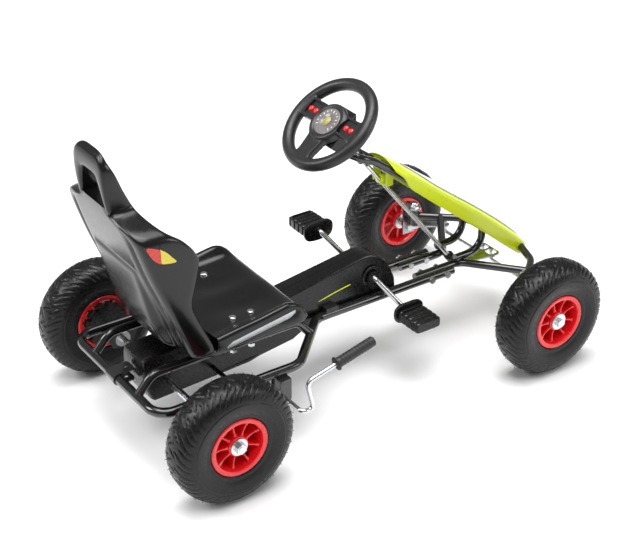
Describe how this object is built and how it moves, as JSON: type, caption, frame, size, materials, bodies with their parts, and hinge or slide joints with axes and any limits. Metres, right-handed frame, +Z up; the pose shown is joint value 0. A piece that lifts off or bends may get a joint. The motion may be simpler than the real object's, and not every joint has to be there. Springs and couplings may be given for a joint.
{
  "type": "pedal go kart",
  "caption": "Pedal go kart with a bucket seat, tube frame, chain drive, hood and a hand brake.",
  "frame": {"origin": "centre of the overall box in X and Y, at ground level", "axes": "+X forward towards the hood nose, +Y to the driver's left, +Z up"},
  "size_m": [1.07, 0.638, 0.662],
  "materials": {
    "frame_paint": "gloss",
    "zinc": "satin",
    "tyre": "matte",
    "rim_red": "gloss",
    "hood_lime": "gloss",
    "seat_black": "satin",
    "trim_black": "matte",
    "button_red": "gloss",
    "dial_face": "gloss",
    "grip_black": "matte"
  },
  "bodies": {
    "frame": {"rear_hoop": "frame_paint", "side_tube_left": "frame_paint", "side_tube_right": "frame_paint", "seat_rail_left": "frame_paint", "seat_rail_right": "frame_paint", "guard_stays": "frame_paint", "axle_brackets": "frame_paint", "axle_bearings": "zinc", "front_tube_left": "frame_paint", "front_tube_right": "frame_paint", "front_beam": "frame_paint", "steering_support": "frame_paint", "steering_bearings": "trim_black", "frame_bolts": "zinc", "hitch_bracket": "frame_paint", "hood": "hood_lime", "guard_left": "trim_black", "guard_right": "trim_black", "guard_clamps": "trim_black", "seat_base": "seat_black", "seat_back": "seat_black", "seat_bolts": "zinc", "brake_bracket": "zinc", "chain": "zinc"},
    "steering": {"steering_shaft": "zinc", "steering_wheel": "trim_black", "hub_housing": "trim_black", "dial": "dial_face"},
    "button_1_body": {"button_1": "button_red"},
    "button_2_body": {"button_2": "button_red"},
    "button_3_body": {"button_3": "button_red"},
    "button_4_body": {"button_4": "button_red"},
    "knuckle_left_body": {"knuckle_left": "zinc", "knuckle_pins_left": "zinc"},
    "tie_rod_left_body": {"tie_rod_left": "zinc"},
    "wheel_front_left": {"tyre_front_left": "tyre", "rim_front_left": "rim_red", "hub_rings_front_left": "zinc"},
    "knuckle_right_body": {"knuckle_right": "zinc", "knuckle_pins_right": "zinc"},
    "tie_rod_right_body": {"tie_rod_right": "zinc"},
    "wheel_front_right": {"tyre_front_right": "tyre", "rim_front_right": "rim_red", "hub_rings_front_right": "zinc"},
    "crank_body": {"crank": "zinc", "crank_sprocket": "zinc"},
    "rear_drive": {"rear_axle": "zinc", "axle_nuts": "zinc", "rear_sprocket": "zinc", "drive_disc": "trim_black", "tyre_rear_left": "tyre", "rim_rear_left": "rim_red", "hub_rings_rear_left": "zinc"},
    "wheel_rear_right": {"tyre_rear_right": "tyre", "rim_rear_right": "rim_red", "hub_rings_rear_right": "zinc"},
    "pedal_left_body": {"pedal_left": "trim_black"},
    "pedal_right_body": {"pedal_right": "trim_black"},
    "brake": {"brake_lever": "zinc", "brake_grip": "grip_black"}
  },
  "joints": [
    {"name": "steering_turn", "type": "hinge", "parent": "frame", "child": "steering", "pos_m": [0.01, 0, 0.57], "axis": [-0.6293, 0, 0.7771], "range_deg": [-16, 16]},
    {"name": "button_1_press", "type": "slide", "parent": "steering", "child": "button_1_body", "axis": [0.6293, 0, -0.7771], "range_m": [0, 0.0015], "stiffness_N_per_m": 600, "springref_m": -0.0008},
    {"name": "button_2_press", "type": "slide", "parent": "steering", "child": "button_2_body", "axis": [0.6293, 0, -0.7771], "range_m": [0, 0.0015], "stiffness_N_per_m": 600, "springref_m": -0.0008},
    {"name": "button_3_press", "type": "slide", "parent": "steering", "child": "button_3_body", "axis": [0.6293, 0, -0.7771], "range_m": [0, 0.0015], "stiffness_N_per_m": 600, "springref_m": -0.0008},
    {"name": "button_4_press", "type": "slide", "parent": "steering", "child": "button_4_body", "axis": [0.6293, 0, -0.7771], "range_m": [0, 0.0015], "stiffness_N_per_m": 600, "springref_m": -0.0008},
    {"name": "kingpin_left", "type": "hinge", "parent": "frame", "child": "knuckle_left_body", "pos_m": [0.39, 0.195, 0.166], "axis": [0, 0, 1], "range_deg": [-20.9, 20.9]},
    {"name": "tie_rod_left_pivot", "type": "hinge", "parent": "knuckle_left_body", "child": "tie_rod_left_body", "pos_m": [0.448, 0.15, 0.145], "axis": [0, 0, 1], "range_deg": [-27.5, 27.5]},
    {"name": "wheel_front_left_spin", "type": "hinge", "parent": "knuckle_left_body", "child": "wheel_front_left", "pos_m": [0.39, 0.276, 0.13], "axis": [0, 1, 0], "continuous": true},
    {"name": "kingpin_right", "type": "hinge", "parent": "frame", "child": "knuckle_right_body", "pos_m": [0.39, -0.195, 0.166], "axis": [0, 0, 1], "range_deg": [-20.9, 20.9]},
    {"name": "tie_rod_right_pivot", "type": "hinge", "parent": "knuckle_right_body", "child": "tie_rod_right_body", "pos_m": [0.448, -0.15, 0.145], "axis": [0, 0, 1], "range_deg": [-27.5, 27.5]},
    {"name": "wheel_front_right_spin", "type": "hinge", "parent": "knuckle_right_body", "child": "wheel_front_right", "pos_m": [0.39, -0.276, 0.13], "axis": [0, 1, 0], "continuous": true},
    {"name": "crank_spin", "type": "hinge", "parent": "frame", "child": "crank_body", "pos_m": [0.099, 0, 0.204], "axis": [0, 1, 0], "continuous": true},
    {"name": "rear_axle_spin", "type": "hinge", "parent": "frame", "child": "rear_drive", "pos_m": [-0.405, 0, 0.13], "axis": [0, 1, 0], "continuous": true},
    {"name": "wheel_rear_right_spin", "type": "hinge", "parent": "frame", "child": "wheel_rear_right", "pos_m": [-0.405, -0.2715, 0.13], "axis": [0, 1, 0], "continuous": true},
    {"name": "pedal_left_spin", "type": "hinge", "parent": "crank_body", "child": "pedal_left_body", "pos_m": [0.0565, 0.14, 0.26701], "axis": [0, 1, 0], "continuous": true},
    {"name": "pedal_right_spin", "type": "hinge", "parent": "crank_body", "child": "pedal_right_body", "pos_m": [0.1415, -0.14, 0.14099], "axis": [0, 1, 0], "continuous": true},
    {"name": "brake_pull", "type": "hinge", "parent": "frame", "child": "brake", "pos_m": [-0.227, -0.17, 0.107], "axis": [0, -1, 0], "range_deg": [0, 30]}
  ],
  "couplings": [
    {"joint": "kingpin_left", "follows": "steering_turn", "ratio": 1.3},
    {"joint": "tie_rod_left_pivot", "follows": "steering_turn", "ratio": -1.711},
    {"joint": "kingpin_right", "follows": "steering_turn", "ratio": 1.3},
    {"joint": "tie_rod_right_pivot", "follows": "steering_turn", "ratio": -1.711},
    {"joint": "rear_axle_spin", "follows": "crank_spin", "ratio": 1.5}
  ]
}
